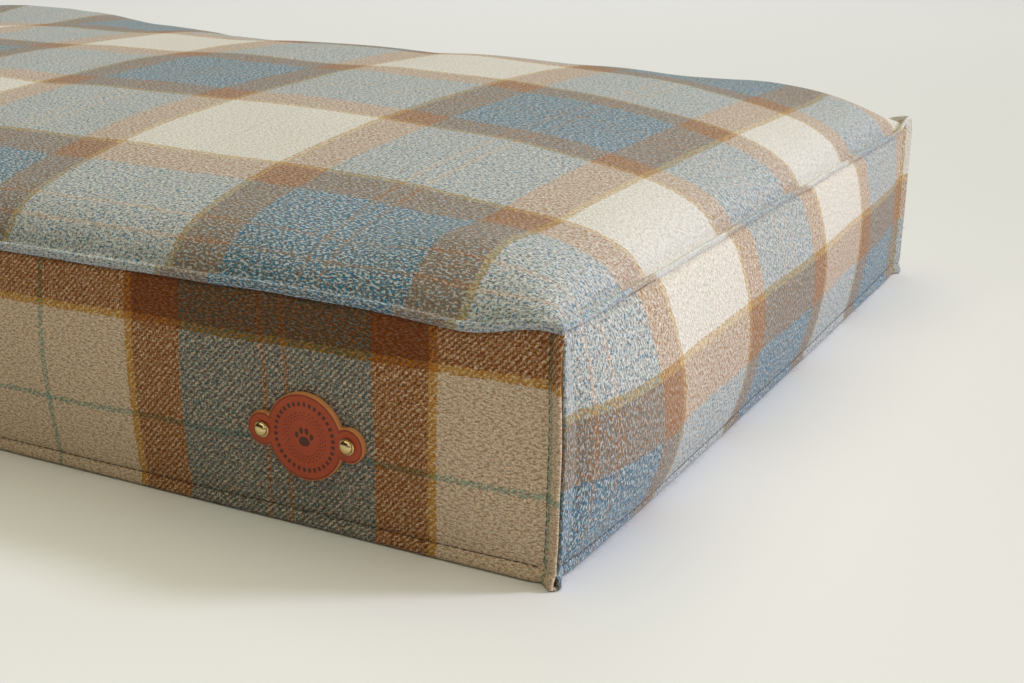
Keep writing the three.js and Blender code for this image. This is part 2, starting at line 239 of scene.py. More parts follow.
def stripe_colour(tree, distance, stripes, nap_and_sheen):
    """The yarn's colour at a distance along the cloth. Brushed yarn is paler, by its nap and by
    painted sheen, and hides the teal.
    """
    ramp = tree.nodes.new("ShaderNodeValToRGB")
    ramp.color_ramp.interpolation = "CONSTANT"
    bands = stripes + stripes[::-1]
    sett = wall_height * sum(width for _, width in bands)
    edge = 0.0
    for index, (colour, width) in enumerate(bands):
        if index < 2:
            stop = ramp.color_ramp.elements[index]
        else:
            stop = ramp.color_ramp.elements.new(edge)
        stop.position = edge
        depth = HIDDEN_TEAL if colour == "teal" and nap_and_sheen > 0.5 else 1 - NAP_AND_SHEEN_PALENESS * nap_and_sheen
        pairs = zip(YARNS[colour], YARNS["cream"])
        stop.color = (*(cream * (yarn / cream) ** depth for yarn, cream in pairs), 1)
        edge += width * wall_height / sett
    link(tree, math_node(tree, "FRACT", math_node(tree, "DIVIDE", distance, sett)), ramp.inputs[0])
    return ramp.outputs["Color"]


def wool_cloth(name, rib_contrast, nap_and_sheen, painted_light_tint):
    """The tartan: how clearly its twill shows, how hairy it is with painted sheen where lit, and a
    tint that paints the colour of that face's light.
    """
    material, tree, principled = shader(name, 0.95, Sheen_Weight=0.12 * nap_and_sheen, Sheen_Roughness=0.5)
    principled.inputs["Sheen Tint"].default_value = (0.92, 0.94, 0.95, 1)
    principled.inputs["Specular IOR Level"].default_value = 0.18
    uv = tree.nodes.new("ShaderNodeUVMap")
    uv.uv_map = "cloth"
    plane = uv.outputs[0]

    # Fibres blur the edges of the stripes.
    blur = tree.nodes.new("ShaderNodeTexNoise")
    blur.inputs["Scale"].default_value = 1 / (1.6 * MM)
    link(tree, plane, blur.inputs["Vector"])
    wander = tree.nodes.new("ShaderNodeVectorMath")
    wander.operation = "MULTIPLY_ADD"
    wander.inputs[1].default_value = (2.6 * MM,) * 3
    wander.inputs[2].default_value = (-1.3 * MM,) * 3
    link(tree, blur.outputs["Color"], wander.inputs[0])
    shifted = tree.nodes.new("ShaderNodeVectorMath")
    shifted.operation = "ADD"
    link(tree, plane, shifted.inputs[0])
    link(tree, wander.outputs[0], shifted.inputs[1])
    split = tree.nodes.new("ShaderNodeSeparateXYZ")
    link(tree, shifted.outputs[0], split.inputs[0])
    across, along = split.outputs[0], split.outputs[1]
    warp = stripe_colour(tree, across, WARP_STRIPES, nap_and_sheen)
    weft = stripe_colour(tree, along, WEFT_STRIPES, nap_and_sheen)

    # The 2/2 twill: diagonal ribs four threads apart, where warp and weft take turns on top.
    rib_phase = math_node(tree, "DIVIDE", math_node(tree, "SUBTRACT", across, along), 4 * THREAD)
    rib = math_node(tree, "SINE", math_node(tree, "MULTIPLY", rib_phase, 2 * math.pi))
    warp_yarn = noise(tree, stretched(tree, plane, (1 / THREAD, 0.3 / THREAD)), 1.0, 1.0)
    weft_yarn = noise(tree, stretched(tree, plane, (0.3 / THREAD, 1 / THREAD)), 1.0, 1.0)
    lift = math_node(tree, "SUBTRACT", warp_yarn, weft_yarn)
    share = math_node(tree, "MULTIPLY_ADD", rib, 0.5 * rib_contrast, 0.5)
    share = math_node(tree, "MULTIPLY_ADD", lift, 1.6, share)
    clamp = tree.nodes.new("ShaderNodeClamp")
    link(tree, share, clamp.inputs[0])
    under = math_node(tree, "SUBTRACT", 1.0, clamp.outputs[0])
    depth = 1.20 - 0.20 * nap_and_sheen
    warp_part = power(tree, warp, math_node(tree, "MULTIPLY", clamp.outputs[0], depth))
    weft_part = power(tree, weft, math_node(tree, "MULTIPLY", under, depth))
    woven_in = mix_colour(tree, 1.0, warp_part, weft_part, "MULTIPLY")
    cloth = mix_colour(tree, 0.8 * nap_and_sheen, woven_in, mix_colour(tree, clamp.outputs[0], weft, warp))

    # Heather: each yarn is spun from fibres of several shades.
    fleck = noise(tree, plane, 1 / (0.9 * MM), 2.0, 0.7)
    fine = noise(tree, stretched(tree, plane, (1, 3.5), 0.7), 1 / (0.9 * MM), 2.0, 0.65)
    shade = math_node(tree, "MULTIPLY_ADD", fleck, 1.5, 0.25)
    shade = math_node(tree, "MULTIPLY", shade, math_node(tree, "MULTIPLY_ADD", fine, 1.5, 0.25))
    grey = tree.nodes.new("ShaderNodeCombineColor")
    for channel in range(3):
        link(tree, shade, grey.inputs[channel])
    heather = mix_colour(tree, 1.0, cloth, grey.outputs[0], "MULTIPLY")

    # Loose hairs lie over the weave, most of them along the twill. Blue hairs keep to the blue.
    channels = tree.nodes.new("ShaderNodeSeparateColor")
    link(tree, cloth, channels.inputs[0])
    blueness = math_node(tree, "SUBTRACT", channels.outputs[2], channels.outputs[0])
    blueness = ramped(tree, blueness, -0.05, 0.06)
    brownness = math_node(tree, "SUBTRACT", channels.outputs[0], channels.outputs[2])
    brownness = ramped(tree, brownness, 0.17, 0.27)
    napped = heather
    for turn, scale, colour, on_cream, on_blue, on_brown in (
        (0.75, 2.1, (0.09, 0.032, 0.008), 0.50 - 0.22 * nap_and_sheen, 0.60 + 0.20 * nap_and_sheen, 0.40),
        (1.05, 2.3, (0.40, 0.140, 0.025), 0.36 - 0.20 * nap_and_sheen, 0.30, 0.60),
        (0.95, 2.4, (0.002, 0.17, 0.32), 0.02, 0.20 + 0.74 * nap_and_sheen, 0.06 + 0.12 * nap_and_sheen),
        # The pale hairs are real specks; on lit faces they lie thicker, as painted sheen.
        (0.60, 2.0, (0.84, 0.86, 0.86), 0.05 + 0.30 * nap_and_sheen, 0.10 + 0.46 * nap_and_sheen, 0.08 + 0.22 * nap_and_sheen),
    ):
        hair = noise(tree, stretched(tree, plane, (1, 2.6), turn), 1 / (scale * MM), 1.5, 0.6)
        share = math_node(tree, "MULTIPLY_ADD", blueness, on_blue - on_cream, on_cream)
        share = math_node(tree, "MULTIPLY_ADD", brownness, on_brown - on_cream, share)
        cover = math_node(tree, "MULTIPLY", ramped(tree, hair, 0.505, 0.595), share)
        napped = mix_colour(tree, cover, napped, colour)
    # Painted light: the tint multiplies each face's cloth by the colour of the light on it, warm shade
    # on the front wall and cool light on the top.
    napped = mix_colour(tree, 1.0, napped, painted_light_tint, "MULTIPLY")
    link(tree, napped, principled.inputs["Base Color"])

    height = math_node(tree, "MULTIPLY_ADD", rib, 0.35 * rib_contrast, fine)
    height = math_node(tree, "MULTIPLY_ADD", fleck, 0.8, height)
    bump(tree, principled, height, 0.55, 0.5 * MM)
    return material


# --- Inner pad ----------------------------------------------------------------------------
# A closed cotton casing stuffed with loose polyester fibre swells inside the cover. The casing
# is sewn as a box. Blown up as cloth, with its seams held loosely and its base held flat, it
# gives the form that the cover's panels follow.

FORM_STEP = 12.5 * MM
CROWN_RISE = 49 * MM
SEAM_RISE = 8 * MM  # the steep first part of the crown, close behind the ridge
END_REACH = 104 * MM  # how slowly the crown rises from each seam
FRONT_REACH = 106 * MM
BACK_REACH = 45 * MM
FOLD_DEPTH = 7 * MM
form_x = np.linspace(-half_length, half_length, 2 * round(half_length / FORM_STEP) + 1)
form_y = np.linspace(-half_width, half_width, 2 * round(half_width / FORM_STEP) + 1)
form_z = np.linspace(0, wall_height, 10)


def crown_share(distance, reach):
    """The share of the crown's height at a distance from a seam."""
    return 1 - np.exp(-np.clip(distance, 0, None) / reach)


def mound(distance, reach):
    """A soft mound: 1 at no distance, and almost nothing at twice the reach."""
    return np.exp(-((distance / reach) ** 2))


LUMPS = [  # where the fibre lies thicker or thinner: place, spread and lift
    (-330 * MM, 240 * MM, 150 * MM, 60 * MM, 13 * MM),
    (90 * MM, 235 * MM, 120 * MM, 70 * MM, -7 * MM),
    (270 * MM, 225 * MM, 110 * MM, 70 * MM, -6 * MM),
    (455 * MM, 245 * MM, 55 * MM, 45 * MM, 6 * MM),
]


def crown(x, y):
    """The height that the fibre lifts the top to. It lies fuller at the back, more so on the left."""
    ends = crown_share(half_length - x, END_REACH) * crown_share(half_length + x, END_REACH)
    back_reach = BACK_REACH - 27 * MM * np.clip(-x / (200 * MM), 0, 1)
    middle = ends * crown_share(half_width + y, FRONT_REACH) * crown_share(half_width - y, back_reach)
    from_end, from_side = half_length - abs(x), half_width - abs(y)
    edge = crown_share(from_end, 10 * MM) * crown_share(from_side, 10 * MM)
    height = CROWN_RISE * middle + SEAM_RISE * edge
    for place, depth, wide, deep, lift in LUMPS:
        height += lift * edge * mound(x - place, wide) * mound(y - depth, deep)
    fold = mound(from_end - 60 * MM, 28 * MM) * (y < 0)
    hollow = mound(from_side - 10 * MM, 9 * MM)
    swell = mound(from_side - 40 * MM, 18 * MM)
    return height + FOLD_DEPTH * fold * (swell - hollow)


BULGE = {0: 3 * MM, 1: 21 * MM, 2: 7 * MM, 3: 19 * MM}  # how far each wall swells, front first


def bulge(turns, spots, heights, half):
    """How far the fibre pushes a wall out, in from its corners and between its two seams."""
    along = crown_share(half - abs(spots), 24 * MM)
    share = np.clip(heights / wall_height, 0, 1)
    up = np.sin(math.pi * share) ** 0.8
    ripple = 1 + 0.10 * np.sin(spots / (61 * MM) + 1.3 * turns)
    if turns == 1:  # the right wall is fullest towards the front
        ripple -= 0.70 * crown_share(spots + 200 * MM, 120 * MM)
    return BULGE[turns] * (along * ripple)[:, None] * up[None, :]


def meshed(name, points, faces, edges=()):
    """An object with a new mesh of the given points and faces."""
    mesh = bpy.data.meshes.new(name)
    mesh.from_pydata(points, edges, faces)
    piece = bpy.data.objects.new(name, mesh)
    bpy.context.scene.collection.objects.link(piece)
    return piece


def smooth(piece):
    """Shades all of a piece smooth."""
    piece.data.polygons.foreach_set("use_smooth", [True] * len(piece.data.polygons))


def modify(piece, kind, **settings):
    """Gives a piece a modifier and applies it."""
    modifier = piece.modifiers.new(kind.lower(), kind)
    for setting, value in settings.items():
        setattr(modifier, setting, value)
    bpy.context.view_layer.objects.active = piece
    bpy.ops.object.modifier_apply(modifier=modifier.name)


def form_mesh():
    """The closed box of cloth, and the index of each of its grid points."""
    index, points, faces = {}, [], []
    last = (len(form_x) - 1, len(form_y) - 1, len(form_z) - 1)

    def corner(*place):
        if place not in index:
            index[place] = len(points)
            points.append((form_x[place[0]], form_y[place[1]], form_z[place[2]]))
        return index[place]

    for fixed in range(3):
        first, second = (fixed + 1) % 3, (fixed + 2) % 3
        for side in (0, last[fixed]):
            for i in range(last[first]):
                for j in range(last[second]):
                    ring = []
                    for di, dj in ((0, 0), (1, 0), (1, 1), (0, 1)):
                        place = [0, 0, 0]
                        place[fixed], place[first], place[second] = side, i + di, j + dj
                        ring.append(corner(*place))
                    faces.append(ring if side else ring[::-1])
    return index, np.array(points), faces


def swollen_form():
    """How far each point of the form moves when the pad fills the cover, by grid place."""
    index, rest, faces = form_mesh()
    lifted = rest.copy()
    top = rest[:, 2] > wall_height - MM
    lifted[top, 2] += 0.6 * crown(rest[top, 0], rest[top, 1])
    loose = rest[:, 2] > MM
    lifted[loose] += np.random.default_rng(3).normal(0, 0.4 * MM, (loose.sum(), 3))
    form = meshed("form", lifted.tolist(), faces)

    at_x = abs(abs(rest[:, 0]) - half_length) < 0.1 * MM
    at_y = abs(abs(rest[:, 1]) - half_width) < 0.1 * MM
    seams = ((at_x | at_y) & top) | (at_x & at_y)
    held = form.vertex_groups.new(name="held")
    held.add(np.flatnonzero(seams).tolist(), 0.8, "REPLACE")
    held.add(np.flatnonzero(~loose).tolist(), 1.0, "REPLACE")

    cloth = form.modifiers.new("swell", "CLOTH").settings
    cloth.quality = 6
    cloth.mass = 0.15
    cloth.tension_stiffness = cloth.compression_stiffness = 25
    cloth.shear_stiffness = 8
    cloth.bending_stiffness = 0.6
    cloth.tension_damping = cloth.compression_damping = cloth.shear_damping = 15
    cloth.bending_damping = 2
    cloth.air_damping = 5
    cloth.use_pressure = True
    cloth.uniform_pressure_force = 0.45
    cloth.vertex_group_mass = "held"
    cloth.shrink_min = -0.025
    cloth.effector_weights.gravity = 0
    form.modifiers["swell"].collision_settings.use_collision = False
    for step in range(1, 25):
        bpy.context.scene.frame_set(step)
    swollen = form.evaluated_get(bpy.context.evaluated_depsgraph_get()).data
    moved = np.zeros(3 * len(rest), np.float32)
    swollen.vertices.foreach_get("co", moved)
    shift = moved.reshape(-1, 3) - rest
    bpy.data.objects.remove(form)
    bpy.context.scene.frame_set(1)

    grid = np.zeros((len(form_x), len(form_y), len(form_z), 3))
    for place, number in index.items():
        grid[place] = shift[number]
    return grid


def calm(face, rounds=2):
    """One face's shifts without the small creases, its edges smoothed along themselves only."""
    for _ in range(rounds):
        face = face.copy()
        face[1:-1] = (face[:-2] + 2 * face[1:-1] + face[2:]) / 4
        face[:, 1:-1] = (face[:, :-2] + 2 * face[:, 1:-1] + face[:, 2:]) / 4
    return face


form_shift = swollen_form()
blown_top = form_shift[:, :, -1, 2].copy()
creases = blown_top - calm(blown_top, 10)
form_shift[:, :, -1, 2] = crown(form_x[:, None], form_y[None, :]) + 0.5 * creases


def pad_form(name, inset, low, high, follow, material):
    """A closed pad inside the form: inset at its sides, between two heights, subdivided smooth."""
    index, rest, faces = form_mesh()
    shift = np.array([form_shift[place] for place in index])
    scale = np.array([1 - inset / half_length, 1 - inset / half_width, (high - low) / wall_height])
    points = rest * scale + follow * shift
    points[:, 2] = np.maximum(points[:, 2], 0) + low
    room = np.array([half_length, half_width]) - inset
    points[:, :2] = np.clip(points[:, :2], -room, room)
    pad = meshed(name, points.tolist(), faces)
    pad.data.materials.append(material)
    modify(pad, "SUBSURF", levels=1, render_levels=1)
    smooth(pad)
    return pad


def object_spot(tree):
    """The place on the object, in metres."""
    return tree.nodes.new("ShaderNodeTexCoord").outputs["Object"]


def woven(name, colour, dark, pitch, roughness):
    """A plain weave of one colour, its threads going dark between each other."""
    material, tree, principled = shader(name, roughness)
    spot = object_spot(tree)
    split = tree.nodes.new("ShaderNodeSeparateXYZ")
    link(tree, spot, split.inputs[0])
    threads = []
    for axis in range(3):
        turn = math_node(tree, "MULTIPLY", split.outputs[axis], 2 * math.pi / pitch)
        threads.append(math_node(tree, "SINE", turn))
    weave = math_node(tree, "MULTIPLY", threads[0], threads[1])
    weave = math_node(tree, "MULTIPLY_ADD", threads[2], 0.5, weave)
    slub = noise(tree, spot, 1 / (3 * pitch), 3.0)
    shade = math_node(tree, "MULTIPLY_ADD", weave, 0.18, slub)
    link(tree, mix_colour(tree, shade, dark, colour), principled.inputs["Base Color"])
    bump(tree, principled, weave, 0.4, 0.3 * MM)
    return material


casing_cotton = woven("casing_cotton", (0.78, 0.74, 0.66), (0.48, 0.44, 0.38), 0.9 * MM, 0.85)
casing = pad_form("pad_casing", 7 * MM, 2.4 * MM, wall_height - 5 * MM, 0.92, casing_cotton)
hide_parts("casing_top", "casing_wall", "casing_base")
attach(casing, "cover")

fibre_wad = woven("fibre", (0.85, 0.85, 0.83), (0.6, 0.6, 0.58), 6 * MM, 0.9)
filling = pad_form("pad_filling", 9 * MM, 4 * MM, wall_height - 7 * MM, 0.9, fibre_wad)
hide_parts("fibre_filling")
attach(filling, "cover")


# --- Top panel ----------------------------------------------------------------------------
# One crowned rectangle of cloth. Its edge is pinched into a small ridge that rolls over the
# top of the walls, and a ditch lies behind the ridge where the pinch is sewn.


def curve_weights(lines, places):
    """A matrix that turns values at even grid lines into values on a smooth curve at places."""
    spot = (np.clip(places, lines[0], lines[-1]) - lines[0]) / (lines[1] - lines[0])
    base = np.clip(np.floor(spot).astype(int), 0, len(lines) - 2)
    t = spot - base
    cubic = [
        0.5 * (-t + 2 * t**2 - t**3),
        0.5 * (2 - 5 * t**2 + 3 * t**3),
        0.5 * (t + 4 * t**2 - 3 * t**3),
        0.5 * (-(t**2) + t**3),
    ]
    matrix = np.zeros((len(places), len(lines)))
    for offset, weight in zip((-1, 0, 1, 2), cubic):
        column = np.clip(base + offset, 0, len(lines) - 1)
        np.add.at(matrix, (np.arange(len(places)), column), weight)
    return matrix


def shift_at(grid, first_lines, second_lines, first, second):
    """One face's shifts, read smoothly at other grid lines."""
    rows = curve_weights(first_lines, first)
    columns = curve_weights(second_lines, second)
    return np.einsum("ai,ijc,bj->abc", rows, calm(grid), columns)


def smooth_profile(points, steps):
    """A smooth curve through a few points, with several steps between each two."""
    points = np.array(points, float) * MM
    count = (len(points) - 1) * steps + 1
    matrix = curve_weights(np.arange(len(points)), np.linspace(0, len(points) - 1, count))
    return matrix @ points


def lengths_along(points):
    """The distance along a curve at each of its points."""
    return np.concatenate([[0], np.cumsum(np.linalg.norm(np.diff(points, axis=0), axis=1))])


def over_grid(*values):
    """Values for each row, each column or each place, brought together over the whole grid."""
    return np.stack(np.broadcast_arrays(*values), axis=-1)


def mirrored(values, sign=1):
    """Values from the middle outwards, carried on to the other side."""
    return np.concatenate([sign * values[:0:-1], values])


def cloth_sheet(name, points, uv, material, thickness=1.2 * MM):
    """A sheet over a grid of points, thickened inwards and kept above the floor."""
    rows, columns = points.shape[:2]
    number = np.arange(rows * columns).reshape(rows, columns)
    corners = [number[:-1, :-1], number[1:, :-1], number[1:, 1:], number[:-1, 1:]]
    faces = np.stack(corners, axis=-1).reshape(-1, 4)
    sheet = meshed(name, points.reshape(-1, 3).tolist(), faces.tolist())
    layer = sheet.data.uv_layers.new(name="cloth")
    layer.data.foreach_set("uv", uv.reshape(-1, 2)[faces.ravel()].astype(np.float32).ravel())
    smooth(sheet)
    sheet.data.materials.append(material)
    modify(sheet, "SOLIDIFY", thickness=thickness, offset=-1)
    for vertex in sheet.data.vertices:
        vertex.co.z = max(vertex.co.z, 0)
    return sheet


RIDGE = [  # outwards from the wall and up from the ridge's crest, from its lower edge inwards
    (0.2, -4.3), (1.2, -4.0), (1.8, -2.6), (1.8, -1.0), (1.2, -0.2), (0.3, 0.1),
    (-0.8, -0.6), (-1.8, -2.2), (-2.8, -4.0), (-4.2, -5.2), (-6.0, -5.0), (-8.5, -3.4),
    (-12.0, -1.8), (-17.0, -0.6), (-24.0, 0.0),
]
ridge_curve = smooth_profile(RIDGE, 3)
EAR_RISE = 7 * MM
FOOT_TUCK = 2.5 * MM


def settled(points):
    """The cover slumps at the corner beside the tag, and stands up as an ear at the one behind."""
    from_end = half_length - points[..., 0]
    from_front, from_back = half_width + points[..., 1], half_width - points[..., 1]
    from_seam = points[..., 2] - wall_height
    foot = np.clip(1 - points[..., 2] / (60 * MM), 0, 1) ** 2
    near = mound(from_end, 70 * MM) * mound(from_front, 120 * MM)
    wave = 3.0 * MM * mound(from_end - 8 * MM, 15 * MM) - 2.0 * MM * mound(from_end - 40 * MM, 15 * MM)
    seam = mound(from_front, 16 * MM) * mound(from_seam, 14 * MM)
    ear = mound(from_end, 18 * MM) * mound(from_back, 18 * MM) * mound(from_seam, 25 * MM)
    moved = points.copy()
    moved[..., 2] += EAR_RISE * ear
    moved[..., 0] -= FOOT_TUCK * foot * near
    moved[..., 2] += wave * seam
    return moved


def top_lines(half, ridge):
    """Grid lines across the top: place, height, cloth distance, and how far into the ridge."""
    flat = half + ridge[0, 0]
    inner = np.linspace(0, flat, 2 + round(flat / (6 * MM)))[:-1]
    edge = half + ridge[:, 0]
    place = np.concatenate([inner, edge])
    rise = np.concatenate([np.zeros(len(inner)), ridge[:, 1]])
    length = np.concatenate([inner, flat + lengths_along(ridge)])
    order = np.concatenate([np.full(len(inner), -1), np.arange(len(edge))])
    return mirrored(place, -1), mirrored(rise), mirrored(length, -1), mirrored(order)


SHORT_RIDGE = 0.75  # the ridge on the short sides, as a share of the long ones'


def top_panel_cloth():
    """The whole top, with its ridge, over the pad's crown."""
    ridge = ridge_curve[::-1]
    x, x_rise, x_length, x_order = top_lines(half_length, SHORT_RIDGE * ridge)
    y, y_rise, y_length, y_order = top_lines(half_width, ridge)
    in_end_ridge = x_order[:, None] > y_order[None, :]
    rise = np.where(in_end_ridge, x_rise[:, None], y_rise[None, :])
    points = over_grid(x[:, None], y[None, :], wall_height + rise)
    points += shift_at(form_shift[:, :, -1], form_x, form_y, x, y)
    # The crown takes up cloth, so the sett shows a little shorter from above. One cream stripe
    # lies 2.27 wall heights from the right end, and another 1.226 from the front.
    across = 1.055 * (x_length[:, None] - half_length + 2.27 * wall_height)
    along = 1.03 * (y_length[None, :] + half_width - 1.226 * wall_height)
    uv = over_grid(across, along)
    # The top's copy: paler yarn and thick pale hair, real nap with painted sheen, and a cool painted
    # light tint.
    brushed_sheen_wool = wool_cloth("brushed_sheen_wool", 0.16, 1.0, (0.97, 1.01, 1.07))
    return cloth_sheet("top_panel_cloth", settled(points), uv, brushed_sheen_wool)


top_panel = top_panel_cloth()
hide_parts("top_panel")
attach(top_panel, "cover")


# --- Walls --------------------------------------------------------------------------------
# Four strips of the same cloth. Where two strips meet they are pinched together into an
# upright fin, and along the floor each strip ends in a narrow flange below a row of stitches.

FIN = [  # along the wall past the corner, and outwards, from the fin's inner edge
    (-0.6, -0.5), (0.5, 0.7), (1.6, 1.9), (2.25, 2.9), (2.1, 3.7), (1.2, 3.9), (0.1, 3.2),
    (-1.2, 2.2), (-2.6, 1.0), (-3.8, -0.1), (-4.8, -0.95), (-5.9, -1.1), (-7.4, -0.6),
    (-9.8, -0.1), (-13.0, 0.0),
]
FLANGE = [  # outwards and up from the floor
    (-1.6, 1.3), (-0.4, 0.5), (0.6, 0.7), (1.0, 1.9), (0.8, 3.6), (0.2, 5.4), (-0.75, 6.7),
    (-0.95, 7.5), (-0.6, 8.6), (-0.1, 10.8), (0.0, 14.0),
]
fin_curve = smooth_profile(FIN, 2)
flange_curve = smooth_profile(FLANGE, 2)
FIN_WIDTH = (1.0, 1.5)  # of a long wall's strip, and of a short wall's
FORM_DEPTH = 0.4  # how much of the form's swelling a wall keeps
STITCH_HEIGHT = 7.2 * MM


def wall_frame(turns):
    """The directions along a wall and out of it, half its span and its distance from the middle."""
    angle = turns * math.pi / 2
    along = np.array([round(math.cos(angle)), round(math.sin(angle)), 0.0])
    out = np.array([round(math.sin(angle)), -round(math.cos(angle)), 0.0])
    if turns % 2:
        return along, out, half_width, half_length
    return along, out, half_length, half_width


def wall_shift(turns, spots, heights):
    """The form's shift on one wall."""
    faces = {0: form_shift[:, 0], 1: form_shift[-1], 2: form_shift[::-1, -1], 3: form_shift[0, ::-1]}
    lines = form_y if turns % 2 else form_x
    _, out, half, _ = wall_frame(turns)
    shift = shift_at(faces[turns], lines, form_z, spots, heights)
    outward = shift @ out
    shift -= ((1 - FORM_DEPTH) * outward)[..., None] * out
    return shift + bulge(turns, spots, heights, half)[..., None] * out


def wall_lines(half, fin_width=1.0):
    """Grid lines along a wall: places, pushes outwards and cloth distances."""
    inner_half = half - 13 * fin_width * MM
    inner = np.linspace(-inner_half, inner_half, 2 + round(inner_half / (3 * MM)))[1:-1]
    right = fin_curve[::-1].copy()
    right[:, 0] = np.where(right[:, 0] < 0, fin_width * right[:, 0], right[:, 0])
    spare = lengths_along(right)
    spots = np.concatenate([-half - right[::-1, 0], inner, half + right[:, 0]])
    pushes = np.concatenate([right[::-1, 1], np.zeros(len(inner)), right[:, 1]])
    lengths = np.concatenate([-inner_half - spare[::-1], inner, inner_half + spare])
    return spots, pushes, lengths


def height_lines(top):
    """Grid lines up a wall, from the flange to just behind the ridge."""
    start = flange_curve[-1, 1]
    rise = np.linspace(start, top, 2 + round((top - start) / (4 * MM)))[1:]
    heights = np.concatenate([flange_curve[:, 1], rise])
    pushes = np.concatenate([flange_curve[:, 0], np.zeros(len(rise))])
    base = lengths_along(flange_curve)
    lengths = np.concatenate([base - base[-1] + start, rise])
    return heights, pushes, lengths


def quiet(turns, spots, heights):
    """How much of the form's shift a wall keeps: none under the tag or along the zip."""
    keep = np.ones((len(spots), len(heights)))
    if turns == 0:
        tag_low, tag_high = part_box("leather_tag")
        middle = (tag_low + tag_high) / 2
        distance = np.hypot(spots[:, None] - middle.x, heights[None, :] - middle.z)
        keep = np.clip((distance - 30 * MM) / (35 * MM), 0, 1)
    if turns == 2:
        distance = abs(heights[None, :] - zip_height) + 0 * spots[:, None]
        keep = np.clip((distance - 8 * MM) / (25 * MM), 0, 1)
    return keep * keep * (3 - 2 * keep)


def wall_points(turns, spots, spot_pushes, heights, height_pushes):
    """The points of a wall's cloth."""
    along, out, half, distance = wall_frame(turns)
    shift = wall_shift(turns, spots, heights)
    keep = quiet(turns, spots, heights)
    push = spot_pushes[:, None] + height_pushes[None, :] + distance
    points = spots[:, None, None] * along + push[..., None] * out
    points[..., 2] += heights[None, :]
    return settled(points + shift * keep[..., None])


def tucked(heights):
    """How far a wall's last few millimetres are tucked in below the ridge."""
    return np.where(heights > wall_height - 5 * MM, -0.9 * MM, 0)


WALL_TOP = wall_height - 2.8 * MM
# Painted light: the front wall's copy has a warm tint for its shade and little pale hair, and the side
# walls' copy a lighter tint with thick pale hair as painted sheen beside its real nap.
wall_wool = wool_cloth("wool_twill", 0.62, 0.1, (1.05, 0.92, 0.76))
side_wool = wool_cloth("side_wool", 0.22, 0.9, (1.04, 1.05, 1.05))


def wall_cloth(name, turns, pattern):
    """One whole wall. The pattern turns cloth distances into the sett's own."""
    half = wall_frame(turns)[2]
    spots, spot_pushes, lengths = wall_lines(half, FIN_WIDTH[turns % 2])
    heights, height_pushes, rises = height_lines(WALL_TOP)
    points = wall_points(turns, spots, spot_pushes, heights, height_pushes + tucked(heights))
    uv = over_grid(*pattern(lengths[:, None], rises[None, :]))
    material = side_wool if turns % 2 else wall_wool
    return cloth_sheet(name, points, uv, material)


def long_pattern(lengths, rises):
    """The sett's place on a long wall, where its stripes nearly meet the top's at the right end."""
    return lengths - (half_length - 0.038 * wall_height), rises - 0.34 * wall_height


def short_pattern(lengths, rises):
    """The sett's place on a short wall, counted from the corner where the strip starts."""
    return rises - 1.135 * wall_height, lengths + half_width - 1.27 * wall_height


for wall_name, turns in (("front_wall", 0), ("right_wall", 1), ("left_wall", 3)):
    pattern = short_pattern if turns % 2 else long_pattern
    wall = wall_cloth(f"{wall_name}_cloth", turns, pattern)
    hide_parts(wall_name)
    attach(wall, "cover")


# --- Back wall ----------------------------------------------------------------------------
# Two strips of the same cloth, one below the zip and one above it. Their edges are turned in
# beside the teeth and sewn down, and past the ends of the zip they meet in a plain seam.

zip_height = (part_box("zip_slider")[0].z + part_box("zip_slider")[1].z) / 2
zip_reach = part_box("zip_top_stop_upper")[1].x + 2.5 * MM
slot_half = 6.3 * MM
HEM = [  # distance from the slot's edge, and how far the cloth is pushed out there
    (0.0, -1.35), (0.15, -0.75), (0.5, -0.3), (1.1, -0.05), (1.9, 0.0), (2.8, -0.1), (3.4, -0.4),
    (3.8, -0.5), (4.2, -0.4), (4.9, -0.1), (6.5, 0.0), (9.0, 0.0), (12.0, 0.0), (16.0, 0.0),
    (20.0, 0.0),
]
HEM_STITCH = 3.8 * MM


def back_cloth(name, side):
    """The back wall's strip below the zip (side -1) or above it (side 1)."""
    spots, spot_pushes, lengths = wall_lines(half_length)
    beyond = np.clip((abs(spots) - zip_reach) / (7 * MM), 0, 1)
    edge = slot_half * (1 - beyond * beyond * (3 - 2 * beyond)) + 0.25 * MM
    distances, pushes = np.array(HEM).T * MM
    if side < 0:
        rest = flange_curve
        distances, pushes = distances[::-1], pushes[::-1]
    else:
        far = np.linspace(zip_height + slot_half + distances[-1], WALL_TOP, 10)[1:]
        rest = np.stack([tucked(far), far], axis=-1)
    near = zip_height + side * (edge[:, None] + distances[None, :])
    fixed = np.broadcast_to(rest[:, 1], (len(spots), len(rest)))
    if side < 0:
        heights = np.concatenate([fixed, near], axis=1)
        height_pushes = np.concatenate([rest[:, 0], pushes])
    else:
        heights = np.concatenate([near, fixed], axis=1)
        height_pushes = np.concatenate([pushes, rest[:, 0]])
    nominal = heights[len(spots) // 2]
    points = wall_points(2, spots, spot_pushes, nominal, height_pushes)
    points[..., 2] += heights - nominal
    uv = over_grid(*long_pattern(-lengths[:, None], heights))
    return cloth_sheet(name, points, uv, side_wool, thickness=0.8 * MM)


for side, node in ((-1, "back_wall_lower"), (1, "back_wall_upper")):
    strip = back_cloth(f"{node}_cloth", side)
    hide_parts(node)
    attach(strip, "cover")


# --- Zip ----------------------------------------------------------------------------------
# A coil zip: a woven tape behind each edge of the slot, and on each tape a row of nylon teeth
# that is one coil of thick filament, sewn down. Brass stops close both ends.

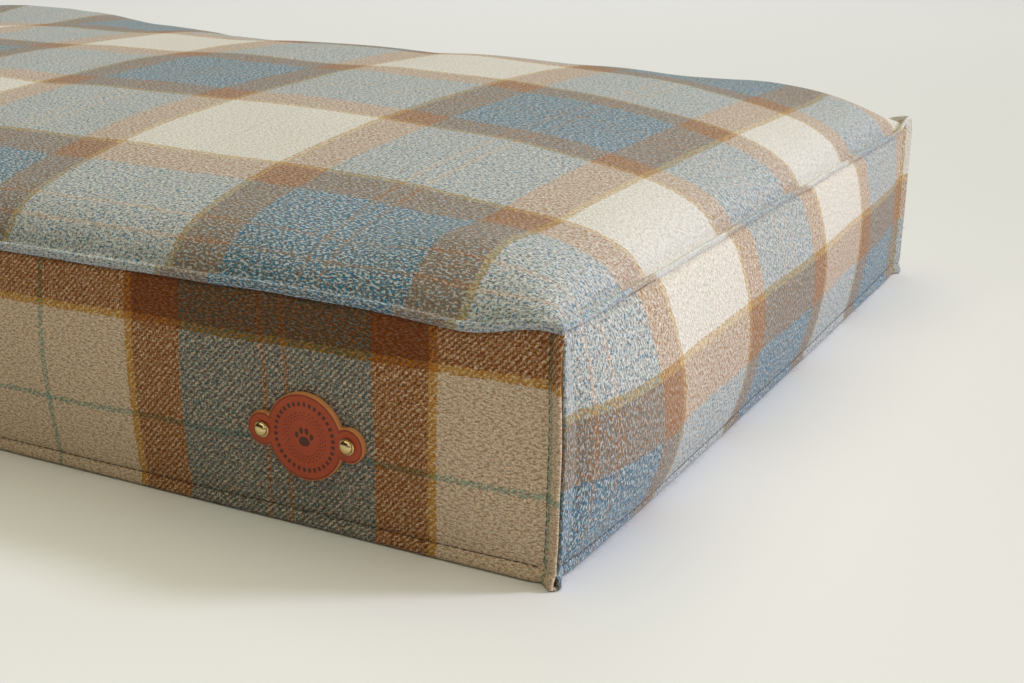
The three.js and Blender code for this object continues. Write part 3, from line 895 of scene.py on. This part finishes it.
tape_weave = woven("zip_tape", (0.16, 0.10, 0.065), (0.06, 0.04, 0.03), 1.1 * MM, 0.8)
for node in ("zip_tape_lower", "zip_tape_upper"):
    low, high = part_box(node)
    x = np.linspace(high.x, low.x, 160)
    z = np.linspace(low.z, high.z, 12)
    points = over_grid(x[:, None], high.y, z[None, :])
    tape = cloth_sheet(f"{node}_strip", points, points[..., [0, 2]], tape_weave, high.y - low.y)
    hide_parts(node)
    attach(tape, "cover")


def copies(name, pattern, places, material):
    """One piece made of many copies of a small pattern object, which is then removed."""
    count = len(pattern.data.vertices)
    corners = np.zeros(3 * count)
    pattern.data.vertices.foreach_get("co", corners)
    corners = corners.reshape(-1, 3)
    faces = [np.array(face.vertices) for face in pattern.data.polygons]
    places = np.array(places)
    points = np.einsum("nab,vb->nva", places[:, :3, :3], corners) + places[:, None, :3, 3]
    all_faces = [(face + count * number).tolist() for number in range(len(places)) for face in faces]
    piece = meshed(name, points.reshape(-1, 3).tolist(), all_faces)
    smooth(piece)
    piece.data.materials.append(material)
    bpy.data.objects.remove(pattern)
    return piece


def bead(segments, rings):
    """A small ball to be copied, with a radius of one."""
    bpy.ops.object.select_all(action="DESELECT")
    bpy.ops.mesh.primitive_uv_sphere_add(segments=segments, ring_count=rings, radius=1)
    return bpy.context.object


TOOTH_PITCH = 1.5 * MM
TOOTH_HALF = 0.62 * MM
nylon, nylon_tree, nylon_shader = shader("zip_nylon", 0.34)
nylon_shade = noise(nylon_tree, object_spot(nylon_tree), 1 / (4 * MM))
nylon_colour = mix_colour(nylon_tree, nylon_shade, (0.09, 0.055, 0.035), (0.17, 0.11, 0.07))
link(nylon_tree, nylon_colour, nylon_shader.inputs["Base Color"])

for node, offset in (("zip_teeth_lower", 0.25), ("zip_teeth_upper", 0.75)):
    low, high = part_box(node)
    middle, size = (low + high) / 2, high - low
    count = int(size.x / TOOTH_PITCH)
    places = []
    for number in range(count):
        x = low.x + (number + offset) * TOOTH_PITCH
        shape = Matrix.Diagonal((TOOTH_HALF, size.y / 2, size.z / 2, 1))
        places.append(Matrix.Translation((x, middle.y, middle.z)) @ shape)
    row = copies(f"{node}_coil", bead(8, 6), places, nylon)
    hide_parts(node)
    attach(row, "cover")


def brass_finish(name, colour, roughness):
    """Brass, lightly scratched, its colour a little uneven."""
    material, tree, principled = shader(name, roughness, Metallic=1.0)
    spot = object_spot(tree)
    patina = noise(tree, spot, 1 / (5 * MM), 3.0)
    dark = tuple(0.72 * channel for channel in colour)
    link(tree, mix_colour(tree, patina, dark, colour), principled.inputs["Base Color"])
    scratch = noise(tree, spot, 1 / (0.5 * MM), 2.0)
    bump(tree, principled, scratch, 0.08, 0.05 * MM)
    return material


brass = brass_finish("brass", (0.80, 0.62, 0.30), 0.24)
for node in ("zip_bottom_stop", "zip_top_stop_lower", "zip_top_stop_upper"):
    low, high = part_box(node)
    bpy.ops.object.select_all(action="DESELECT")
    bpy.ops.mesh.primitive_cube_add(size=1, location=(low + high) / 2, scale=high - low)
    stop = bpy.context.object
    stop.name = f"{node}_clip"
    bpy.ops.object.transform_apply(location=True, rotation=True, scale=True)
    modify(stop, "BEVEL", width=0.6 * MM, segments=3)
    bpy.ops.object.shade_smooth_by_angle(angle=math.radians(40))
    stop.data.materials.append(brass)
    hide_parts(node)
    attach(stop, "cover")


def coat(node, material):
    """Gives one of the frame's own nodes another material."""
    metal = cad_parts[node]
    metal.data.materials.clear()
    metal.data.materials.append(material)


coat("zip_slider", brass)
coat("zip_pull", brass)


# --- Base ---------------------------------------------------------------------------------
# One plain panel of hard-wearing canvas. It lies on the floor, and its edge is turned up into
# the narrow flange that ends the walls, where the row of stitches holds it.

BASE_EDGE = [  # inwards from the wall's face, and up from the floor, from the rim inwards
    (1.0, 3.6), (1.5, 2.2), (2.6, 1.2), (4.2, 0.6), (7.0, 0.2), (12.0, 0.05), (18.0, 0.05),
]
base_edge = smooth_profile(BASE_EDGE, 1)


def base_lines(half):
    """Grid lines across the base: place, and height above the floor."""
    inner = np.linspace(0, half - base_edge[-1, 0], 2 + round(half / (14 * MM)))[:-1]
    place = np.concatenate([inner, half - base_edge[::-1, 0]])
    rise = np.concatenate([np.full(len(inner), base_edge[-1, 1]), base_edge[::-1, 1]])
    return mirrored(place, -1), mirrored(rise)


x, x_rise = base_lines(half_length)
y, y_rise = base_lines(half_width)
rise = np.maximum(x_rise[::-1, None], y_rise[None, :])
points = over_grid(x[::-1, None], y[None, :], rise)
canvas = woven("base_canvas", (0.20, 0.15, 0.11), (0.10, 0.075, 0.055), 1.3 * MM, 0.9)
base = cloth_sheet("base_cloth", settled(points), points[..., :2], canvas, thickness=1.0 * MM)
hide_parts("base_panel")
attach(base, "cover")


# --- Stitches -----------------------------------------------------------------------------
# Lockstitch in thick thread: a dark brown row above the floor all round, another along each hem
# beside the zip, and an olive row in the groove of each corner fin.


def thread_finish(name, colour):
    """Twisted thread."""
    material, tree, principled = shader(name, 0.7, Sheen_Weight=0.2)
    twist = noise(tree, object_spot(tree), 1 / (0.6 * MM), 2.0)
    dark = tuple(0.45 * channel for channel in colour)
    link(tree, mix_colour(tree, twist, dark, colour), principled.inputs["Base Color"])
    return material


def resampled(line, pitch):
    """Points every pitch along a line."""
    run = lengths_along(line)
    spots = np.arange(pitch / 2, run[-1], pitch)
    return np.stack([np.interp(spots, run, line[:, axis]) for axis in range(3)], axis=-1)


def stitch_places(line, outward, length, pitch, radius, sink=0.1 * MM):
    """Where each stitch along a line goes, half sunk in the cloth that faces outward."""
    knots = resampled(line, pitch)
    ahead = np.gradient(knots, axis=0)
    places = []
    for knot, direction in zip(knots, ahead):
        forward = Vector(direction).normalized()
        side = Vector(outward).cross(forward).normalized()
        up = forward.cross(side)
        turn = Matrix((forward, side, up)).transposed().to_4x4()
        size = Matrix.Diagonal((length / 2, radius, radius, 1))
        places.append(Matrix.Translation(Vector(knot) - sink * up) @ turn @ size)
    return places


def wall_line(turns, spots, height, push):
    """A level line on a wall's cloth."""
    pushes = np.zeros(len(spots))
    return wall_points(turns, spots, pushes, np.array([height]), np.array([push]))[:, 0]


bottom_row, corner_row, hem_row = [], [], []
for turns in range(4):
    _, out, half, _ = wall_frame(turns)
    spots = np.linspace(-half + 7 * MM, half - 7 * MM, 300)
    bottom_line = wall_line(turns, spots, STITCH_HEIGHT, -0.7 * MM)
    bottom_row += stitch_places(bottom_line, out, 4.0 * MM, 4.1 * MM, 0.22 * MM)
    for side in (-1, 1):
        spot = np.array([side * (half - 5.3 * FIN_WIDTH[turns % 2] * MM)])
        heights = np.linspace(9 * MM, WALL_TOP - 4 * MM, 60)
        groove = wall_points(turns, spot, np.array([-1.0 * MM]), heights, np.zeros(60))[0]
        sink = (0.1 + 0.25 * (turns % 2)) * MM
        corner_row += stitch_places(groove, out, 3.6 * MM, 4.0 * MM, 0.25 * MM, sink)
for side in (-1, 1):
    hem_line = np.zeros((300, 3))
    hem_line[:, 0] = np.linspace(zip_reach + 3 * MM, -zip_reach - 3 * MM, 300)
    hem_line[:, 1] = half_width - 0.45 * MM
    hem_line[:, 2] = zip_height + side * (slot_half + HEM_STITCH + 0.25 * MM)
    hem_row += stitch_places(hem_line, (0, 1, 0), 2.7 * MM, 3.3 * MM, 0.3 * MM)

for name, places, thread in (
    ("bottom_stitches", bottom_row, thread_finish("brown_thread", (0.055, 0.03, 0.015))),
    ("corner_stitches", corner_row, thread_finish("olive_thread", (0.06, 0.06, 0.035))),
    ("zip_stitches", hem_row, thread_finish("dark_thread", (0.06, 0.035, 0.02))),
):
    row = copies(name, bead(6, 4), places, thread)
    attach(row, "cover")


# --- Loose fibres -------------------------------------------------------------------------
# Brushed wool sheds fine hairs along its folded edges. They stand a few millimetres out of the
# flange near the floor, the corner fins and the ridge round the top.

fibre_random = np.random.default_rng(7)


def hairs(line, outward, spacing, length):
    """Fine curved hairs, each a tapering three-sided strand, rooted along an edge."""
    roots = resampled(line, spacing)
    count = len(roots)
    out, up = np.array(outward, float), np.array([0.0, 0.0, 1.0])
    side = np.cross(out, up)
    lean = fibre_random.normal(0, 0.8, (count, 1)) * side
    lift = fibre_random.normal(0.2, 0.6, (count, 1)) * up
    aim = out + (lean + lift)
    aim /= np.linalg.norm(aim, axis=1, keepdims=True)
    droop = fibre_random.normal(0, 0.45, (count, 3))
    reach = length * fibre_random.uniform(0.35, 1.2, (count, 1))
    scatter = fibre_random.normal(0, 0.5 * MM, (count, 3)) * (abs(side) + abs(up))
    start = roots + scatter - 0.4 * MM * out
    points = []
    for share, thick in ((0.0, 0.045), (0.4, 0.04), (0.75, 0.03), (1.0, 0.008)):
        spine = start + reach * (share * aim + share**2 * droop)
        for corner in range(3):
            angle = 2 * math.pi * corner / 3
            points.append(spine + thick * MM * (math.cos(angle) * side + math.sin(angle) * up))
    return np.stack(points, axis=1)


strands = []
for turns in range(4):
    along, out, half, distance = wall_frame(turns)
    spots = np.linspace(-half, half, 400)
    flange = wall_line(turns, spots, 1.6 * MM, 0.8 * MM)
    strands.append(hairs(flange, out, 0.9 * MM, 3.2 * MM))
    crest = spots[:, None] * along + (distance + 1.5 * MM) * out
    crest[:, 2] = wall_height - 0.8 * MM
    strands.append(hairs(crest, out, 1.3 * MM, 2.2 * MM))
    for side in (-1, 1):
        fin = np.zeros((60, 3)) + side * (half + 1.8 * MM) * along + (distance + 3.2 * MM) * out
        fin[:, 2] = np.linspace(4 * MM, wall_height - 6 * MM, 60)
        outward = (side * along + out) / math.sqrt(2)
        strands.append(hairs(settled(fin), outward, 1.0 * MM, 2.4 * MM))
points = np.concatenate(strands)
points[..., 2] = np.maximum(points[..., 2], 0.3 * MM)
tube = []
for ring in range(3):
    for corner in range(3):
        after = (corner + 1) % 3
        tube.append((3 * ring + corner, 3 * ring + after, 3 * ring + 3 + after, 3 * ring + 3 + corner))
strand_points = 4 * 3
faces = (np.array(tube)[None] + strand_points * np.arange(len(points))[:, None, None]).reshape(-1, 4)
fibres = meshed("loose_fibres", points.reshape(-1, 3).tolist(), faces.tolist())
smooth(fibres)
fibre_wool, fibre_tree, fibre_shader = shader("fibre_wool", 0.8, Sheen_Weight=0.3)
fibre_pick = noise(fibre_tree, object_spot(fibre_tree), 1 / (2 * MM), 1.0)
fibre_pick = ramped(fibre_tree, fibre_pick, 0.4, 0.6)
fibre_shade = mix_colour(fibre_tree, fibre_pick, (0.20, 0.14, 0.09), (0.66, 0.63, 0.57))
link(fibre_tree, fibre_shade, fibre_shader.inputs["Base Color"])
fibres.data.materials.append(fibre_wool)
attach(fibres, "cover")


# --- Leather tag --------------------------------------------------------------------------
# A round patch of vegetable-tanned leather with two small ears, cut from 3 mm hide. Its mark
# is burnt in: a ring of dashes, three rings of dots and a paw. Each ear takes a brass rivet.

tag_low, tag_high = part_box("leather_tag")
tag_middle = (tag_low + tag_high) / 2
tag_radius = (tag_high.z - tag_low.z) / 2
ear_radius = 8 * MM
ear_reach = (tag_high.x - tag_low.x) / 2 - ear_radius
blend_width = 3 * MM


def tag_outline(angle):
    """The tag's edge at an angle: the disc and its ears with a soft neck between them."""
    sideways = ear_reach * abs(math.sin(angle))
    ear = 0.0
    if sideways < ear_radius:
        ear = ear_reach * abs(math.cos(angle)) + math.sqrt(ear_radius**2 - sideways**2)
    share = max(0.0, 1 - abs(ear - tag_radius) / blend_width)
    return max(ear, tag_radius) + share**2 * blend_width / 4


bpy.ops.object.select_all(action="DESELECT")
bpy.ops.mesh.primitive_circle_add(vertices=240, radius=1, fill_type="NGON")
tag = bpy.context.object
tag.name = "tag_patch"
for vertex in tag.data.vertices:
    angle = math.atan2(vertex.co.y, vertex.co.x)
    reach = tag_outline(angle)
    x, z = reach * math.cos(angle), reach * math.sin(angle)
    vertex.co = (tag_middle.x + x, tag_low.y, tag_middle.z + z)
bpy.ops.object.mode_set(mode="EDIT")
bpy.ops.mesh.select_all(action="SELECT")
bpy.ops.mesh.inset(thickness=1.6 * MM)
bpy.ops.mesh.inset(thickness=1.0 * MM)
bpy.ops.object.mode_set(mode="OBJECT")
modify(tag, "SOLIDIFY", thickness=tag_high.y - tag_low.y, offset=-1)
modify(tag, "BEVEL", width=0.55 * MM, segments=3)
bpy.ops.object.shade_smooth_by_angle(angle=math.radians(35))


def away_from(tree, x, z, centre_x, centre_z, wide=1.0, high=1.0):
    """The distance from a point on the tag, its sides stretched to make an ellipse."""
    across = math_node(tree, "DIVIDE", math_node(tree, "SUBTRACT", x, centre_x), wide)
    up = math_node(tree, "DIVIDE", math_node(tree, "SUBTRACT", z, centre_z), high)
    square = math_node(tree, "MULTIPLY_ADD", across, across, math_node(tree, "MULTIPLY", up, up))
    return math_node(tree, "SQRT", square)


def between(tree, value, low, high, soft):
    """One between two values and nothing outside them."""
    rise = ramped(tree, value, low - soft, low + soft)
    return math_node(tree, "MULTIPLY", rise, ramped(tree, value, high + soft, high - soft))


PAW = [  # centre across and up, half width and half height, in millimetres
    (0, -1.9, 2.9, 2.2), (-3.9, 0.7, 1.0, 1.4), (-1.4, 2.9, 1.05, 1.5), (1.4, 2.9, 1.05, 1.5),
    (3.9, 0.7, 1.0, 1.4),
]


def burnt_mark(tree, x, z, radius):
    """Where the tag is burnt, as a share."""
    turn = math_node(tree, "ARCTAN2", z, x)
    dash_wave = math_node(tree, "SINE", math_node(tree, "MULTIPLY", turn, 34))
    dashes = ramped(tree, dash_wave, -0.35, 0.15)
    dash_ring = between(tree, radius, 14.2 * MM, 16.1 * MM, 0.15 * MM)
    burnt = math_node(tree, "MULTIPLY", dashes, dash_ring)
    for row, row_radius in enumerate((8.6 * MM, 9.9 * MM, 11.2 * MM)):
        shifted_turn = math_node(tree, "MULTIPLY_ADD", turn, 30, math.pi * (row % 2))
        dots = ramped(tree, math_node(tree, "SINE", shifted_turn), 0.1, 0.7)
        ring = between(tree, radius, row_radius - 0.22 * MM, row_radius + 0.22 * MM, 0.15 * MM)
        burnt = math_node(tree, "MAXIMUM", burnt, math_node(tree, "MULTIPLY", dots, ring))
    for across, up, wide, high in PAW:
        distance = away_from(tree, x, z, across * MM, up * MM, wide * MM, high * MM)
        burnt = math_node(tree, "MAXIMUM", burnt, ramped(tree, distance, 1.1, 0.9))
    return burnt


def leather_finish():
    """Tanned hide, with a dyed line inside its worn edge and the mark burnt in."""
    material, tree, principled = shader("leather", 0.52, Coat_Weight=0.04, Coat_Roughness=0.3)
    spot = object_spot(tree)
    split = tree.nodes.new("ShaderNodeSeparateXYZ")
    link(tree, spot, split.inputs[0])
    x = math_node(tree, "SUBTRACT", split.outputs[0], tag_middle.x)
    z = math_node(tree, "SUBTRACT", split.outputs[2], tag_middle.z)
    radius = away_from(tree, x, z, 0, 0)
    inside = math_node(tree, "SUBTRACT", radius, tag_radius)
    for side in (-1, 1):
        ear = away_from(tree, x, z, side * ear_reach, 0)
        inside = math_node(tree, "MINIMUM", inside, math_node(tree, "SUBTRACT", ear, ear_radius))
    burnt = burnt_mark(tree, x, z, radius)

    tone = noise(tree, spot, 1 / (9 * MM), 4.0, 0.6)
    line = between(tree, inside, -1.15 * MM, -0.75 * MM, 0.2 * MM)
    worn = ramped(tree, inside, -0.55 * MM, -0.1 * MM)
    hide = mix_colour(tree, tone, (0.36, 0.040, 0.006), (0.52, 0.080, 0.013))
    hide = mix_colour(tree, math_node(tree, "MULTIPLY", line, 0.75), hide, (0.09, 0.02, 0.008))
    hide = mix_colour(tree, worn, hide, (0.62, 0.26, 0.09))
    hide = mix_colour(tree, math_node(tree, "MULTIPLY", burnt, 0.88), hide, (0.045, 0.012, 0.006))
    link(tree, hide, principled.inputs["Base Color"])

    grain = tree.nodes.new("ShaderNodeTexVoronoi")
    grain.feature = "DISTANCE_TO_EDGE"
    grain.inputs["Scale"].default_value = 1 / (0.8 * MM)
    link(tree, spot, grain.inputs["Vector"])
    pores = ramped(tree, grain.outputs["Distance"], 0, 0.25)
    relief = math_node(tree, "MULTIPLY_ADD", pores, 0.25, math_node(tree, "MULTIPLY", tone, 0.5))
    relief = math_node(tree, "SUBTRACT", relief, burnt)
    relief = math_node(tree, "SUBTRACT", relief, line)
    bump(tree, principled, relief, 0.7, 0.25 * MM)
    return material


tag.data.materials.append(leather_finish())
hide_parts("leather_tag")
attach(tag, "cover")


# --- Rivets -------------------------------------------------------------------------------
# Two brass rivets. Each has a domed cap with a thin rim that presses into the leather, and a
# post that goes through the tag and the wall to a flat head inside.

CAP_PROFILE = [  # share of the radius, and of the height, from the rim to the middle
    (0.90, 0.0), (1.0, 0.06), (1.0, 0.15), (0.93, 0.23), (0.87, 0.24), (0.86, 0.32), (0.83, 0.5),
    (0.74, 0.70), (0.6, 0.85), (0.4, 0.95), (0.2, 0.99), (0.0, 1.0),
]
cap_edges = [(index, index + 1) for index in range(len(CAP_PROFILE) - 1)]

for side in ("left", "right"):
    low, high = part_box(f"rivet_cap_{side}")
    middle, cap_radius, cap_height = (low + high) / 2, (high.x - low.x) / 2, high.y - low.y
    outline = []
    for share, rise in CAP_PROFILE:
        outline.append((middle.x + share * cap_radius, high.y - rise * cap_height, middle.z))
    dome = meshed(f"rivet_dome_{side}", outline, [], cap_edges)
    bpy.ops.object.select_all(action="DESELECT")
    bpy.context.view_layer.objects.active = dome
    dome.select_set(True)
    bpy.ops.object.mode_set(mode="EDIT")
    bpy.ops.mesh.select_all(action="SELECT")
    bpy.ops.mesh.spin(steps=48, angle=2 * math.pi, center=middle, axis=(0, 1, 0))
    bpy.ops.mesh.select_all(action="SELECT")
    bpy.ops.mesh.remove_doubles(threshold=0.01 * MM)
    bpy.ops.mesh.normals_make_consistent(inside=False)
    bpy.ops.object.mode_set(mode="OBJECT")
    bpy.ops.object.shade_smooth_by_angle(angle=math.radians(50))
    dome.data.materials.append(brass)
    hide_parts(f"rivet_cap_{side}")
    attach(dome, "cover")
    coat(f"rivet_post_{side}", brass)
